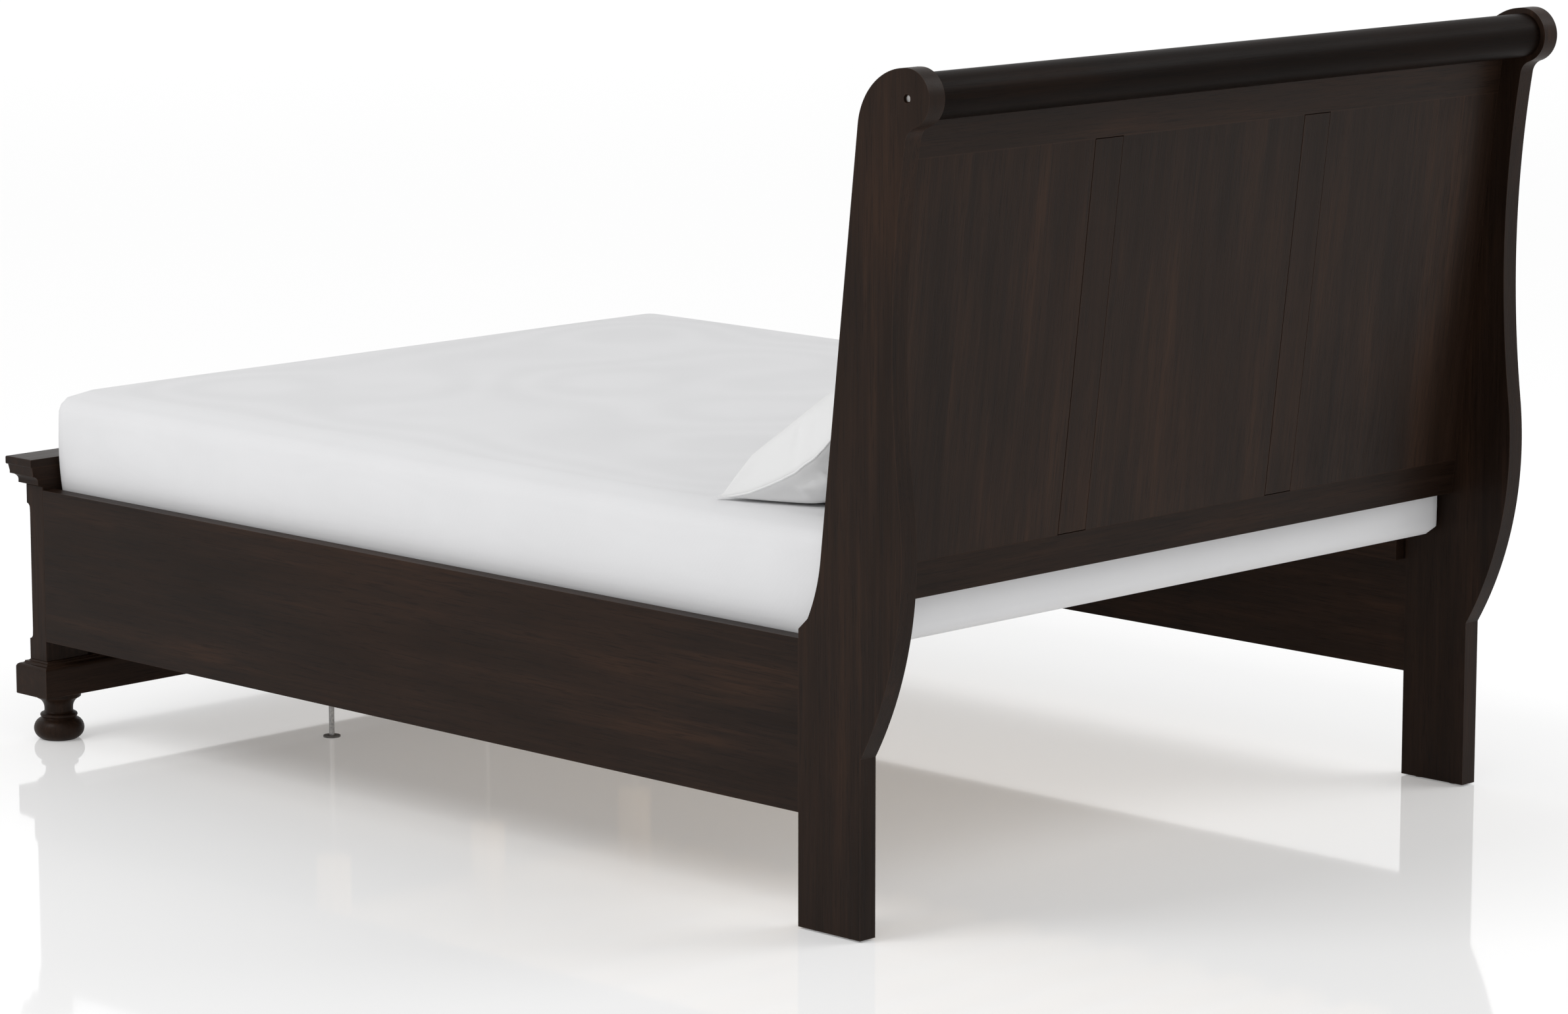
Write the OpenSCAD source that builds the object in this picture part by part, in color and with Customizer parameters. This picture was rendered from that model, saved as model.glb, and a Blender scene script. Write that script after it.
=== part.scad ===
// Sleigh bed: scroll-topped headboard, low moulded footboard on bun feet, slatted base,
// mattress and two pillows. Millimetres. X is the width, +Y the head end, Z up.

/* [Overall] */
// Width over the outer faces of the posts
bed_w = 1582; // [1562:1:1620]
// Gap between the head leg's front edge and the footboard posts
rail_len = 1942; // [1940:1:1980]
// Height of the headboard at the top of the scroll
bed_h = 1392; // [1380:1:1400]

/* [Headboard] */
// Thickness of a head post
head_post_t = 35; // [32:1:40]
// Depth of the straight head leg, front to back
leg_depth = 137; // [135:1:140]
// Lean of the headboard from the vertical, in degrees
rake = 6.5; // [6.3:0.1:6.7]
// Radius of the scroll at the top of a head post
scroll_r = 47; // [45:1:48]
// Radius of the roll between the scrolls
roll_r = 37.5; // [36:0.5:38]
// Thickness of the headboard's frame
head_frame_t = 22; // [21:1:24]
// Distance from the posts' front line to the back face of the frame
head_back_offset = 60; // [58:1:62]
// Height of the bottom rail's lower edge above the floor
head_bottom_z = 534; // [530:1:538]
// Height of the bottom rail
head_bottom_rail_h = 61; // [58:1:64]
// Height of the panels between the rails, along the slope
head_panel_h = 659; // [650:1:662]

/* [Panels] */
// Number of panels across each end of the bed
panel_count = 3; // [3:1:3]
// Width of a muntin between two panels
muntin_w = 66; // [60:1:70]
// Thickness of a footboard panel
panel_t = 10; // [8:1:10]
// Thickness of a headboard panel's tongue
tongue_t = 6; // [5:1:7]
// Depth of the tongue's back face below the back of the headboard's frame
tongue_drop = 8; // [7:1:9]
// Depth of the panel's raised field below the back of the headboard's frame
field_drop = 0.3; // [0.2:0.1:2]
// Width of the shadow line round a muntin
field_gap = 1.3; // [1:0.1:2]
// Depth of the groove that holds a panel's edge
groove = 9; // [6:1:10]

/* [Side rails] */
// Thickness of a side rail
rail_t = 28; // [26:1:30]
// Height of the side rail's lower edge
rail_z = 190; // [185:1:195]
// Height of the side rail itself
rail_h = 283; // [278:1:288]
// Width of the ledger that carries the slats
ledger_w = 25; // [22:1:28]
// Height of the ledger
ledger_h = 38; // [34:1:40]

/* [Slats and support] */
// Number of slats
slat_count = 14; // [14:1:14]
// Distance from one slat's centre to the next
slat_pitch = 142; // [140:1:143]
// Width of a slat
slat_w = 70; // [60:1:75]
// Thickness of a slat
slat_t = 20; // [18:1:21]
// Which slat stands on the support legs, counted from the foot
leg_slat = 3; // [3:1:3]
// Distance of the outer support legs from the centre leg
leg_spread = 388; // [380:1:395]
// Side of a square support leg
leg_side = 45; // [40:1:48]
// Height of a support leg's lower end, where its levelling rod comes out
leg_low = 228; // [200:1:240]

/* [Footboard] */
// Width of a foot post across the bed
foot_post_w = 96; // [92:1:98]
// Depth of a foot post at its top and bottom blocks
foot_post_d = 49; // [48:1:52]
// Depth of the sunk face between the blocks
shaft_inset = 9; // [7:1:10]
// Height of the top of the cap
foot_h = 532; // [530:1:534]
// Thickness of the cap board
cap_t = 15; // [14:1:16]
// Projection of the cap past the posts
cap_out = 26; // [25:1:27]
// Projection of the plinth past the posts
plinth_out = 19; // [18:1:20]
// Projection of the plinth on its inner side
plinth_in = 22; // [20:1:24]
// Height of a bun foot
bun_h = 87; // [86:1:88]

/* [Mattress and pillows] */
// Width of the mattress
mattress_w = 1510; // [1500:1:1510]
// Length of the mattress
mattress_len = 2017; // [1990:1:2018]
// Thickness of the mattress
mattress_t = 206; // [200:1:208]
// Length of a pillow across the bed
pillow_len = 668; // [640:1:670]

/* [Hidden] */
$fn = 96;
wood_dark = [0.20, 0.16, 0.14];
wood_red = [0.24, 0.17, 0.14];
wood_pale = [0.78, 0.66, 0.48];
steel = [0.55, 0.55, 0.56];
felt = [0.30, 0.29, 0.28];
linen = [0.93, 0.93, 0.92];
fit = 0.05;
seat_gap = 0.3;
sides = [1, -1];

half_w = bed_w / 2;
scroll_y = 232;
scroll_z = bed_h - scroll_r;
scroll_back = scroll_y + scroll_r;
foot_front = rail_len + foot_post_d;
// The origin lies under the middle of the whole bed, so the head leg's front edge is at head_y.
head_y = (foot_front + cap_out - scroll_back) / 2;
foot_inner_y = head_y - rail_len;
foot_outer_y = head_y - foot_front;
inner_x = half_w - head_post_t;

glide_t = 3;
glide_r = 10;
rail_top = rail_z + rail_h;
ledger_x = half_w - rail_t - ledger_w;
slat_z = 432;
slat_top = slat_z + slat_t;
slat_len = 2 * (half_w - rail_t) - 6;
first_slat_y = head_y - 1895;
leg_slat_y = first_slat_y + (leg_slat - 1) * slat_pitch;
leg_places = [-leg_spread, 0, leg_spread];

mattress_z = slat_top + seat_gap;
mattress_top = mattress_z + mattress_t;
mattress_corner = 16;
mattress_foot_y = foot_inner_y + 1.5;

plinth_top = 152;
plinth_face_h = 50;
crown_z = 480;
foot_x = half_w - 43;
foot_centre_y = (foot_outer_y - plinth_out + foot_inner_y + plinth_in) / 2;
foot_frame_t = 30;
foot_frame_y = foot_outer_y + shaft_inset;
foot_rail_h = 72;
foot_tenon_t = 12;
foot_tenon_y = foot_frame_y + (foot_frame_t - foot_tenon_t) / 2;

screw_r = 2;
screw_len = 34;
screw_head_h = 2.5;

bolt_r = 3;
bolt_len = 82;
bolt_head_r = 5;
bolt_head_t = 3;
bolt_sink = 4;
bolt_hole_r = 7;
roll_tenon_r = 16;
roll_tenon = 14;

tenon_t = 10;
tenon_len = 18;
tenon_h = 42;
tenon_foot = 8;
frame_front = head_back_offset - head_frame_t;
tenon_low = frame_front + (head_frame_t - tenon_t) / 2;
muntin_tongue_len = 20;
rail_face_in = 10.5;

glide_pin_r = 1.5;
glide_pin_h = glide_t + 14;
glide_inset = 30;
leg_glide_r = 16;
rod_r = 5;
rod_in = 50;

plate_w = 20;
plate_t = 3;
plate_h = 130;
plate_z = rail_z + 75;
plate_x = half_w - rail_t / 2;
hook_t = 4;
hook_reach = 12;
hook_h = 26;
hook_starts = [plate_z + 18, plate_z + 82];
plate_low = [plate_x - plate_w / 2, plate_z];
plate_high = [plate_x + plate_w / 2, plate_z + plate_h];

stud_r = 5;
stud_len = 70;
stud_drop = 32;

// Points of an arc from angle a0 to angle a1 about centre c.
function arc(c, r, a0, a1, n) = [for (i = [0:n]) let (a = a0 + (a1 - a0) * i / n) c + r * [cos(a), sin(a)]];
// The crossing of two circles that lies to the left of the way from c1 to c2.
function circles_meet(c1, r1, c2, r2) =
    let (d = norm(c2 - c1), a = (d * d + r1 * r1 - r2 * r2) / (2 * d), h = sqrt(r1 * r1 - a * a))
    let (u = (c2 - c1) / d)
    c1 + a * u + h * [-u[1], u[0]];
function heading(v) = atan2(v[1], v[0]);
function reversed(list) = [for (i = [len(list) - 1:-1:0]) list[i]];

// Outline of a head post, as [depth behind the leg's front edge, height].
over_r = 105;
over_c = [scroll_y, bed_h - over_r];
scroll_c = [scroll_y, scroll_z];
slope_dir = [sin(rake), cos(rake)];
slope_out = [cos(rake), -sin(rake)];
front_len = 699;
front_foot = over_c - over_r * slope_out - front_len * slope_dir;
cove_r = 300;
cove_c = front_foot - cove_r * slope_out;
waist_r = 1950;
waist_c = [202.5 + waist_r, 960];
belly_r = 650;
belly_drop = 337.5;
belly_c = waist_c - [sqrt(pow(belly_r + waist_r, 2) - pow(belly_drop, 2)), belly_drop];
belly_dir = heading(waist_c - belly_c);
belly_end = -acos((leg_depth - belly_c[0]) / belly_r);
throat_r = 26;
throat_c = circles_meet(waist_c, waist_r - throat_r, scroll_c, scroll_r + throat_r);
head_outline = concat(
    [[0, glide_t], [0, 488]],
    arc(cove_c, cove_r, -26, -rake, 12),
    arc(over_c, over_r, 180 - rake, 90, 28),
    arc(scroll_c, scroll_r, 84, heading(throat_c - scroll_c), 34),
    arc(throat_c, throat_r, heading(scroll_c - throat_c), heading(throat_c - waist_c), 14),
    arc(waist_c, waist_r, heading(throat_c - waist_c), belly_dir + 180, 26),
    arc(belly_c, belly_r, belly_dir, belly_end, 30),
    [[leg_depth, glide_t]]
);

// Foot post outline, as [distance from the sunk face towards the head, height].
shaft_top = 427;
shaft_bottom = 208;
step_r = shaft_inset - 0.5;
foot_outline = concat(
    [[foot_post_d, plinth_top], [foot_post_d, crown_z], [0, crown_z]],
    arc([0, shaft_top + step_r], step_r, 90, 0, 8),
    [[shaft_inset, shaft_top], [shaft_inset, shaft_bottom]],
    arc([0, shaft_bottom - step_r], step_r, 0, -90, 8),
    [[0, plinth_top]]
);

// Stations across the bed where the panels and the muntins lie.
panel_span = (2 * inner_x - (panel_count - 1) * muntin_w) / panel_count;
function panel_x(i) = -inner_x + i * (panel_span + muntin_w);
function muntin_x(i) = panel_x(i) - muntin_w;
foot_inner_x = half_w - foot_post_w;
foot_muntin_w = 60;
foot_span = (2 * foot_inner_x - (panel_count - 1) * foot_muntin_w) / panel_count;
function foot_panel_x(i) = -foot_inner_x + i * (foot_span + foot_muntin_w);
function foot_muntin_x(i) = foot_panel_x(i) - foot_muntin_w;

slat_names = [for (i = [1:slat_count]) str("slat_", i < 10 ? "0" : "", i)];

// ---------- shared shapes ----------

// A box from its lowest and highest corners.
module block(low, high) {
    translate(low) cube(high - low);
}

// Extrudes a [y, z] outline along X.
module along_x(x0, x1) {
    translate([x0, 0, 0]) rotate([90, 0, 90]) linear_extrude(x1 - x0) children();
}

// Extrudes an [x, z] outline along Y.
module along_y(y0, y1) {
    translate([0, y1, 0]) rotate([90, 0, 0]) linear_extrude(y1 - y0) children();
}

// The headboard frame's own sloping plane: Y is the depth behind the posts' front line.
module on_slope() {
    y0 = front_foot[0] - (front_foot[1] - head_bottom_z) * tan(rake);
    translate([0, head_y + y0, head_bottom_z]) rotate([-rake, 0, 0]) children();
}

// A pin along X, centred on c.
module pin_x(c, r, len) {
    translate(c - [len / 2, 0, 0]) rotate([0, 90, 0]) cylinder(r = r, h = len);
}

// A countersunk wood screw along +X, its head's face at the origin.
module screw(grow = 0) {
    rotate([0, 90, 0]) {
        cylinder(r1 = 2 * screw_r + grow, r2 = screw_r + grow, h = screw_head_h);
        cylinder(r = screw_r + grow, h = screw_len);
    }
}

// ---------- headboard ----------

module roll_bolt(side, grow) {
    x_head = half_w - bolt_sink;
    c = [0, head_y + scroll_y, scroll_z];
    mirror([side < 0 ? 1 : 0, 0, 0]) {
        pin_x(c + [x_head - bolt_len / 2, 0, 0], bolt_r + grow, bolt_len);
        pin_x(c + [x_head - bolt_head_t / 2, 0, 0], bolt_head_r + grow, bolt_head_t);
    }
}

module head_post(side) {
    mirror([side < 0 ? 1 : 0, 0, 0]) difference() {
        translate([0, head_y, 0]) along_x(inner_x, half_w) polygon(head_outline);
        translate([inner_x - 1, head_y + scroll_y, scroll_z]) rotate([0, 90, 0])
            cylinder(r = roll_tenon_r + fit, h = roll_tenon + 1.5);
        roll_bolt(1, fit);
        pin_x([half_w, head_y + scroll_y, scroll_z], bolt_hole_r, 2 * bolt_sink);
        top_rail_tenon(fit);
        bottom_rail_tenon(fit);
        hook_seat(head_y, 1);
        glide_pins(fit);
    }
}

module head_roll() {
    color(wood_dark) difference() {
        union() {
            pin_x([0, head_y + scroll_y, scroll_z], roll_r, 2 * inner_x);
            pin_x([0, head_y + scroll_y, scroll_z], roll_tenon_r, 2 * (inner_x + roll_tenon));
        }
        for (side = sides) roll_bolt(side, fit);
    }
}

// The tenon at a rail's right-hand end, which starts at the given height along the slope.
module rail_tenon(start, grow) {
    low = [inner_x - 1, tenon_low - grow, start - grow];
    high = [inner_x + tenon_len + grow, tenon_low + tenon_t + grow, start + tenon_h + grow];
    on_slope() block(low, high);
}

module top_rail_tenon(grow) {
    rail_tenon(head_bottom_rail_h + head_panel_h + 12, grow);
}

module bottom_rail_tenon(grow) {
    rail_tenon(tenon_foot, grow);
}

// The top rail's front face follows the posts' outer curve up to the roll.
top_rail_r = over_r - rail_face_in;
slope_start = [front_foot[0] - (front_foot[1] - head_bottom_z) * tan(rake), head_bottom_z];
top_rail_foot = slope_start + (head_bottom_rail_h + head_panel_h) * slope_dir;
roll_front_y = scroll_y - roll_r;
top_rail_back = top_rail_foot + head_back_offset * slope_out;
top_rail_outline = concat(
    [top_rail_back, top_rail_foot + rail_face_in * slope_out],
    arc(over_c, top_rail_r, 180 - rake, 115, 20),
    [scroll_c, [roll_front_y + 1, scroll_z]]
);

module head_top_rail() {
    color(wood_dark) difference() {
        union() {
            translate([0, head_y, 0]) along_x(-inner_x, inner_x) difference() {
                polygon(top_rail_outline);
                translate(scroll_c) circle(r = roll_r + fit);
            }
            for (side = sides) mirror([side < 0 ? 1 : 0, 0, 0]) top_rail_tenon(0);
        }
        for (i = [0:panel_count - 1]) head_panel_tongue(i, fit);
        for (i = [1:panel_count - 1]) head_muntin_tongue(i, fit);
    }
}

module head_bottom_rail() {
    color(wood_dark) difference() {
        union() {
            on_slope() block([-inner_x, frame_front, 0], [inner_x, head_back_offset, head_bottom_rail_h]);
            for (side = sides) mirror([side < 0 ? 1 : 0, 0, 0]) bottom_rail_tenon(0);
        }
        for (i = [0:panel_count - 1]) head_panel_tongue(i, fit);
        for (i = [1:panel_count - 1]) head_muntin_tongue(i, fit);
    }
}

// The thin edge of a panel that runs in the frame's grooves; the outer panels stop at the posts.
module head_panel_tongue(i, grow) {
    x0 = panel_x(i) - (i > 0 ? groove : -2 * fit);
    x1 = panel_x(i) + panel_span + (i < panel_count - 1 ? groove : -2 * fit);
    y1 = head_back_offset - tongue_drop;
    z0 = head_bottom_rail_h - groove;
    z1 = head_bottom_rail_h + head_panel_h + groove;
    on_slope() block([x0 - grow, y1 - tongue_t - grow, z0 - grow], [x1 + grow, y1 + grow, z1 + grow]);
}

// A panel fills its bay; the only shadow lines are beside and at the ends of the muntins.
module head_panel(i) {
    x0 = panel_x(i) + (i > 0 ? field_gap : 2 * fit);
    x1 = panel_x(i) + panel_span - (i < panel_count - 1 ? field_gap : 2 * fit);
    low = [x0, head_back_offset - tongue_drop - 1, head_bottom_rail_h + fit];
    high = [x1, head_back_offset - field_drop, head_bottom_rail_h + head_panel_h - fit];
    color(wood_dark) {
        head_panel_tongue(i, 0);
        on_slope() block(low, high);
    }
}

module head_muntin_tongue(i, grow) {
    x0 = muntin_x(i) + groove + 4;
    x1 = muntin_x(i) + muntin_w - groove - 4;
    z0 = head_bottom_rail_h - muntin_tongue_len;
    z1 = head_bottom_rail_h + head_panel_h + muntin_tongue_len;
    low = [x0, tenon_low, z0];
    high = [x1, tenon_low + tenon_t, z1];
    on_slope() block(low - [grow, grow, grow], high + [grow, grow, grow]);
}

module head_muntin(i) {
    low = [muntin_x(i), frame_front, head_bottom_rail_h + field_gap];
    difference() {
        union() {
            on_slope() block(low, low + [muntin_w, head_frame_t, head_panel_h - 2 * field_gap]);
            head_muntin_tongue(i, 0);
        }
        head_panel_tongue(i - 1, fit);
        head_panel_tongue(i, fit);
    }
}

module glide_pins(grow) {
    for (y = [glide_inset, leg_depth - glide_inset])
        translate([half_w - head_post_t / 2, head_y + y, 0])
            cylinder(r = glide_pin_r + grow, h = glide_pin_h);
}

module head_glides() {
    color(felt) for (side = sides) mirror([side < 0 ? 1 : 0, 0, 0]) {
        for (y = [glide_inset, leg_depth - glide_inset])
            translate([half_w - head_post_t / 2, head_y + y, 0]) cylinder(r = glide_r, h = glide_t);
        glide_pins(0);
    }
}

// ---------- rail fittings ----------

// Each rail end carries a steel plate with two hooks, which drop into a slotted plate in the post.
// Recess for the slotted plate and the pocket behind it; out is the way from the joint into the post.
module hook_seat(y, out) {
    y1 = y + out * plate_t;
    y2 = y + out * (plate_t + 14);
    low = [plate_low[0], min(y - out, y1), plate_low[1]];
    high = [plate_high[0], max(y - out, y1), plate_high[1]];
    block(low - [fit, fit, fit], high + [fit, fit, fit]);
    for (z = hook_starts)
        block([plate_x - 4, min(y, y2), z - 14], [plate_x + 4, max(y, y2), z + hook_h + 4]);
}

module slotted_plate(y, out) {
    y1 = y + out * plate_t;
    difference() {
        block([plate_low[0], min(y, y1), plate_low[1]], [plate_high[0], max(y, y1), plate_high[1]]);
        for (z = hook_starts)
            block([plate_x - 3, min(y, y1) - 1, z - 2], [plate_x + 3, max(y, y1) + 1, z + hook_h + 3]);
        for (z = [plate_z + 7, plate_z + plate_h - 7])
            translate([plate_x, y, z]) rotate([90, 0, 0]) cylinder(r = screw_r, h = 10, center = true);
    }
}

module post_hook_plates() {
    color(steel) for (side = sides) mirror([side < 0 ? 1 : 0, 0, 0]) {
        slotted_plate(head_y, 1);
        slotted_plate(foot_inner_y, -1);
    }
}

// A plate let into the rail's end, with hooks that reach through the slots and turn down.
module hook_plate(y, out) {
    y0 = y - out * plate_t;
    y1 = y + out * plate_t;
    y2 = y + out * hook_reach;
    lip = y + out * (plate_t + 1);
    block([plate_low[0], min(y0, y), plate_low[1]], [plate_high[0], max(y0, y), plate_high[1]]);
    for (z = hook_starts) {
        block([plate_x - hook_t / 2, min(y, y2), z + 8], [plate_x + hook_t / 2, max(y, y2), z + hook_h]);
        block([plate_x - hook_t / 2, min(lip, y2), z - 8], [plate_x + hook_t / 2, max(lip, y2), z + 8]);
    }
}

module rail_hooks() {
    color(steel) for (side = sides) mirror([side < 0 ? 1 : 0, 0, 0]) {
        hook_plate(head_y, 1);
        hook_plate(foot_inner_y, -1);
    }
}

module ledger_screw_places() {
    for (i = [0:6])
        translate([ledger_x, foot_inner_y + 110 + i * 287, slat_z - ledger_h / 2]) children();
}

module side_rail(side) {
    color(wood_dark) mirror([side < 0 ? 1 : 0, 0, 0]) difference() {
        block([half_w - rail_t, foot_inner_y, rail_z], [half_w, head_y, rail_top]);
        for (end = [[head_y - plate_t, head_y], [foot_inner_y, foot_inner_y + plate_t]])
            block(
                [plate_low[0] - fit, end[0] - (end[0] > 0 ? fit : 1), plate_low[1] - fit],
                [plate_high[0] + fit, end[1] + (end[0] > 0 ? 1 : fit), plate_high[1] + fit]
            );
        ledger_screw_places() screw(fit);
    }
}

module ledger(side) {
    color(wood_dark) mirror([side < 0 ? 1 : 0, 0, 0]) difference() {
        block([ledger_x, foot_inner_y + 8, slat_z - ledger_h], [ledger_x + ledger_w, head_y - 8, slat_z]);
        ledger_screw_places() screw(fit);
        for (i = [1:slat_count]) slat_screw(i, fit);
    }
}

module ledger_screws() {
    color(steel) for (side = sides) mirror([side < 0 ? 1 : 0, 0, 0]) ledger_screw_places() screw();
}

// ---------- slats and support legs ----------

function slat_y(i) = first_slat_y + (i - 1) * slat_pitch;

// The screw through the right-hand end of slat i.
module slat_screw(i, grow) {
    translate([ledger_x + 10, slat_y(i), slat_top - 1]) rotate([0, 90, 0]) screw(grow);
}

module slat(i) {
    low = [-slat_len / 2, slat_y(i) - slat_w / 2, slat_z];
    color(wood_pale) difference() {
        block(low, low + [slat_len, slat_w, slat_t]);
        for (side = sides) mirror([side < 0 ? 1 : 0, 0, 0]) {
            slat_screw(i, fit);
            translate([ledger_x + 10, slat_y(i), slat_top - 1]) cylinder(r = 2 * screw_r + fit, h = 2);
        }
        if (i == leg_slat) for (x = leg_places) leg_bolt(x, fit);
    }
}

module slat_screws() {
    color(steel) for (side = sides) mirror([side < 0 ? 1 : 0, 0, 0]) {
        for (i = [1:slat_count]) slat_screw(i, 0);
    }
}

module leg_bolt(x, grow) {
    translate([x, leg_slat_y, slat_top - 4]) {
        cylinder(r = 7 + grow, h = 4);
        translate([0, 0, -76]) cylinder(r = 4 + grow, h = 77);
    }
}

module support_leg(x) {
    low = [x - leg_side / 2, leg_slat_y - leg_side / 2, leg_low];
    color(wood_pale) difference() {
        block(low, low + [leg_side, leg_side, slat_z - leg_low]);
        leg_bolt(x, fit);
        leg_rod(x, fit);
    }
}

module leg_rod(x, grow) {
    translate([x, leg_slat_y, glide_t]) cylinder(r = rod_r + grow, h = leg_low + rod_in - glide_t);
}

// Levelling rods that carry the support legs down to the floor.
module support_leg_rods() {
    color(steel) for (x = leg_places) difference() {
        leg_rod(x, 0);
        translate([x, leg_slat_y, 0]) cylinder(r = glide_pin_r + fit, h = glide_pin_h);
    }
}

module support_leg_bolts() {
    color(steel) for (x = leg_places) leg_bolt(x, 0);
}

module support_leg_glides() {
    color(felt) for (x = leg_places) translate([x, leg_slat_y, 0]) {
        cylinder(r = leg_glide_r, h = glide_t);
        cylinder(r = glide_pin_r, h = glide_pin_h);
    }
}

// ---------- footboard ----------

module foot_post(side) {
    color(wood_dark) mirror([side < 0 ? 1 : 0, 0, 0]) difference() {
        translate([0, foot_outer_y, 0]) along_x(foot_inner_x, half_w) polygon(foot_outline);
        hook_seat(foot_inner_y, -1);
        for (z = [plinth_top, crown_z - foot_rail_h]) foot_rail_tenon(z, fit);
        foot_panel_box(panel_count - 1, fit);
    }
}

module foot_rail_tenon(z, grow) {
    low = [foot_inner_x - 1, foot_tenon_y - grow, z + 12 - grow];
    high = [foot_inner_x + 22 + grow, foot_tenon_y + foot_tenon_t + grow, z + foot_rail_h - 12 + grow];
    block(low, high);
}

module foot_rail(z) {
    low = [-foot_inner_x, foot_frame_y, z];
    color(wood_dark) difference() {
        union() {
            block(low, low + [2 * foot_inner_x, foot_frame_t, foot_rail_h]);
            for (side = sides) mirror([side < 0 ? 1 : 0, 0, 0]) foot_rail_tenon(z, 0);
        }
        for (i = [0:panel_count - 1]) foot_panel_box(i, fit);
        for (i = [1:panel_count - 1]) foot_muntin_tongue(i, fit);
    }
}

module foot_panel_box(i, grow) {
    y0 = foot_frame_y + 8;
    low = [foot_panel_x(i) - groove, y0, plinth_top + foot_rail_h - groove];
    high = [foot_panel_x(i) + foot_span + groove, y0 + panel_t, crown_z - foot_rail_h + groove];
    block(low - [grow, grow, grow], high + [grow, grow, grow]);
}

module foot_muntin_tongue(i, grow) {
    x0 = foot_muntin_x(i) + groove + 4;
    x1 = foot_muntin_x(i) + foot_muntin_w - groove - 4;
    low = [x0, foot_tenon_y, plinth_top + foot_rail_h - muntin_tongue_len];
    high = [x1, foot_tenon_y + foot_tenon_t, crown_z - foot_rail_h + muntin_tongue_len];
    block(low - [grow, grow, grow], high + [grow, grow, grow]);
}

module foot_muntin(i) {
    x0 = foot_muntin_x(i);
    color(wood_dark) difference() {
        union() {
            block(
                [x0, foot_frame_y, plinth_top + foot_rail_h],
                [x0 + foot_muntin_w, foot_frame_y + foot_frame_t, crown_z - foot_rail_h]
            );
            foot_muntin_tongue(i, 0);
        }
        foot_panel_box(i - 1, fit);
        foot_panel_box(i, fit);
    }
}

// A moulding with the given section, [projection, height], mitred round the footboard's front and ends.
// On the side that faces the mattress it follows inner_section.
module mitred(section, inner_section) {
    back = reversed(section);
    right = [for (p = section) [half_w + p[0], p[1]]];
    left = [for (p = back) [-half_w - p[0], p[1]]];
    inner = [for (p = inner_section) [foot_inner_y + p[0], p[1]]];
    outer = [for (p = back) [foot_outer_y - p[0], p[1]]];
    margin = 60;
    intersection() {
        along_y(foot_outer_y - margin, foot_inner_y + margin) polygon(concat(right, left));
        along_x(-half_w - margin, half_w + margin) polygon(concat(inner, outer));
    }
}

// The crown and the cap are flush with the posts on the mattress side.
module foot_crown() {
    cap_z = foot_h - cap_t;
    section = concat(
        [[0, crown_z], [10, crown_z + 3], [10, crown_z + 9]],
        arc([21, crown_z + 9], 11, 180, 90, 10),
        [[21, crown_z + 25], [23, cap_z]]
    );
    color(wood_dark) mitred(section, [[0, crown_z], [0, cap_z]]);
}

module foot_cap() {
    edge = 2.5;
    cap_z = foot_h - cap_t;
    section = concat(
        arc([cap_out - edge, cap_z + edge], edge, -90, 0, 6),
        arc([cap_out - edge, foot_h - edge], edge, 0, 90, 6)
    );
    color(wood_dark) mitred(section, [[0, cap_z], [0, foot_h]]);
}

module foot_plinth() {
    face_top = bun_h + plinth_face_h;
    section = concat(
        [[plinth_out - 1, bun_h], [plinth_out, bun_h + 1], [plinth_out, face_top]],
        arc([plinth_out - 8, face_top], 8, 0, 80, 8),
        arc([plinth_out - 8, face_top + 12], 4, -90, -180, 6),
        [[2, plinth_top - 3], [0, plinth_top]]
    );
    extra = plinth_in - plinth_out;
    color(wood_dark) difference() {
        mitred(section, [for (p = section) [p[0] + extra, p[1]]]);
        for (side = sides) mirror([side < 0 ? 1 : 0, 0, 0]) bun_stud(fit);
    }
}

module bun_stud(grow) {
    translate([foot_x, foot_centre_y, bun_h - stud_drop]) cylinder(r = stud_r + grow, h = stud_len);
}

module bun_studs() {
    color(steel) for (side = sides) mirror([side < 0 ? 1 : 0, 0, 0]) bun_stud(0);
}

// Turned foot: flat base, full bulb, a ring, a neck and a flared top.
bulb_c = [26, 20];
bulb_r = 20.5;
ring_c = [30.5, 45];
bun_outline = concat(
    [[0, 0], [33, 0]],
    arc(bulb_c, bulb_r, -65, 52, 18),
    [[33, 39.5]],
    arc(ring_c, 4, -70, 80, 10),
    [[28, 50.5], [26.5, 53]],
    arc([26.5 + 22, 58], 22, 180, 112, 12),
    [[41.5, 79.5], [41.5, bun_h], [0, bun_h]]
);

module bun_foot(side) {
    color(wood_red) mirror([side < 0 ? 1 : 0, 0, 0]) difference() {
        translate([foot_x, foot_centre_y, 0]) rotate_extrude() polygon(bun_outline);
        bun_stud(fit);
    }
}

// ---------- soft goods ----------

module mattress() {
    r = mattress_corner;
    color(linen) translate([0, mattress_foot_y, mattress_z]) linear_extrude(mattress_t) {
        for (side = sides) translate([side * (mattress_w / 2 - r), 0]) {
            translate([0, r]) circle(r = r);
            translate([0, mattress_len - r]) circle(r = r);
        }
        translate([-mattress_w / 2, r]) square([mattress_w, mattress_len - 2 * r]);
        translate([-mattress_w / 2 + r, 0]) square([mattress_w - 2 * r, mattress_len]);
    }
}

// Section of a pillow that lies on the mattress and leans on the headboard.
pillow_section = [
    [-240, 666], [-205, 660], [20, 660], [66, 674], [92, 720], [108, 840], [116, 905],
    [98, 932], [56, 920], [-10, 860], [-70, 800], [-150, 740], [-215, 696]
];

module pillow(side) {
    x0 = 78;
    color(linen) mirror([side < 0 ? 1 : 0, 0, 0])
        translate([0, head_y, 0]) along_x(x0, x0 + pillow_len) polygon(pillow_section);
}

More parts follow.
